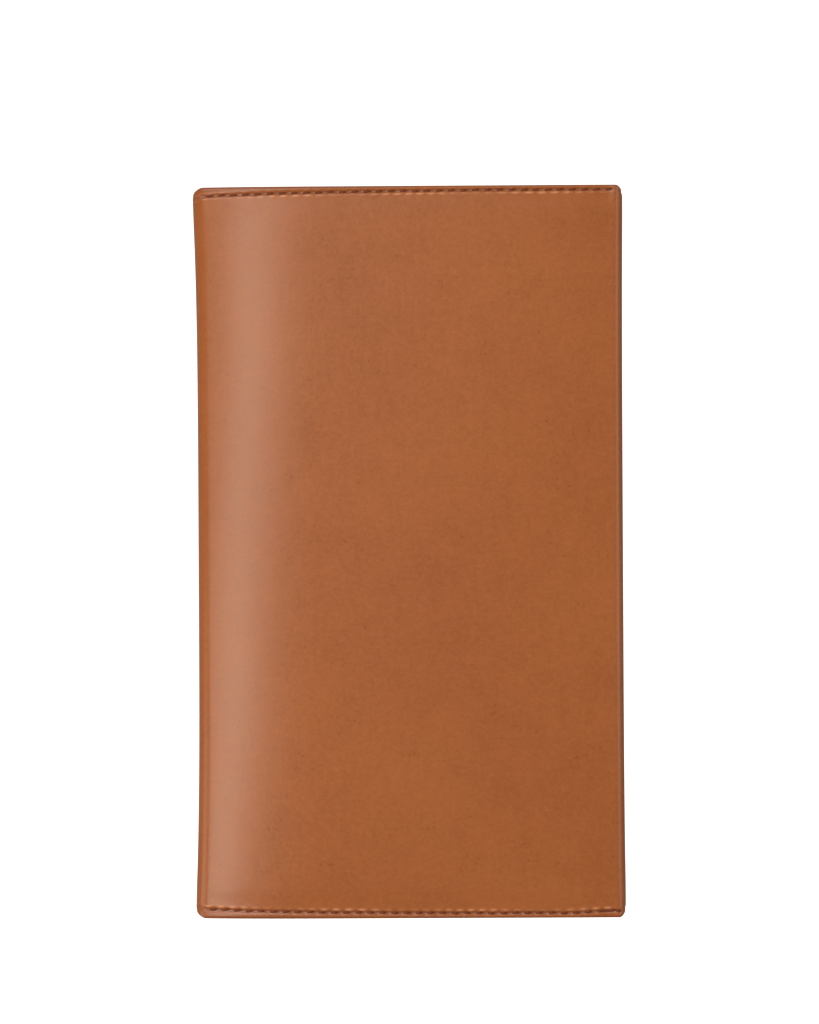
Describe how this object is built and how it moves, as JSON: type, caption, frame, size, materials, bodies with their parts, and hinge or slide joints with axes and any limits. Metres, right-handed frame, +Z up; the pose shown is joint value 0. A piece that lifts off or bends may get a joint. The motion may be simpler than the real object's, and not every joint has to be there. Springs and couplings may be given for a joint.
{
  "type": "long wallet",
  "caption": "Long upright bifold leather wallet with stitched top and bottom edges, a soft round spine, note sleeves, card slots and a slip pocket; opens flat like a book.",
  "frame": {"origin": "middle of the footprint of the closed wallet standing on its bottom edge", "axes": "+X from the spine to the fore edge, +Y from the front cover to the back cover, +Z up along the wallet's height"},
  "size_m": [0.1074, 0.012, 0.183],
  "materials": {
    "leather": "smooth tan full-grain leather, satin, with a fine mottled grain",
    "lining": "brown twill, woven",
    "slot_cloth": "thin brown nylon",
    "thread": "dark red-brown waxed thread",
    "foam": "thin pale foam",
    "board": "bonded fibre board"
  },
  "bodies": {
    "back": {"back_cover": "leather", "back_padding": "foam", "back_board": "board", "back_lining": "lining", "back_fore_edge": "leather", "back_note_sleeve": "leather", "back_sleeve_lining": "lining", "back_seam_thread": "thread", "slip_pocket": "leather", "slip_pocket_thread": "thread"},
    "spine": {"spine_wrap": "leather", "spine_padding": "foam", "spine_reinforcement": "board", "spine_lining": "lining", "spine_seam_thread": "thread"},
    "front": {"front_cover": "leather", "front_padding": "foam", "front_board": "board", "front_lining": "lining", "front_fore_edge": "leather", "front_note_sleeve": "leather", "front_sleeve_lining": "lining", "front_seam_thread": "thread", "card_slot_thread": "thread", "card_slot_1": "leather", "card_slot_2": "leather", "card_slot_3": "leather", "card_slot_4": "leather", "card_slot_5": "leather", "card_slot_6": "leather", "card_slot_7": "leather", "card_slot_8": "leather", "card_slot_cloth_1": "slot_cloth", "card_slot_cloth_2": "slot_cloth", "card_slot_cloth_3": "slot_cloth", "card_slot_cloth_4": "slot_cloth", "card_slot_cloth_5": "slot_cloth", "card_slot_cloth_6": "slot_cloth", "card_slot_cloth_7": "slot_cloth", "card_slot_cloth_8": "slot_cloth"}
  },
  "joints": [
    {"name": "back_fold", "type": "hinge", "parent": "back", "child": "spine", "pos_m": [-0.05336, 0.00307, 0.0915], "axis": [0, 0, -1], "range_deg": [0, 90]},
    {"name": "front_fold", "type": "hinge", "parent": "spine", "child": "front", "pos_m": [-0.05336, -0.00307, 0.0915], "axis": [0, 0, -1], "range_deg": [0, 90]}
  ],
  "couplings": [
    {"joint": "front_fold", "follows": "back_fold", "ratio": 1}
  ]
}
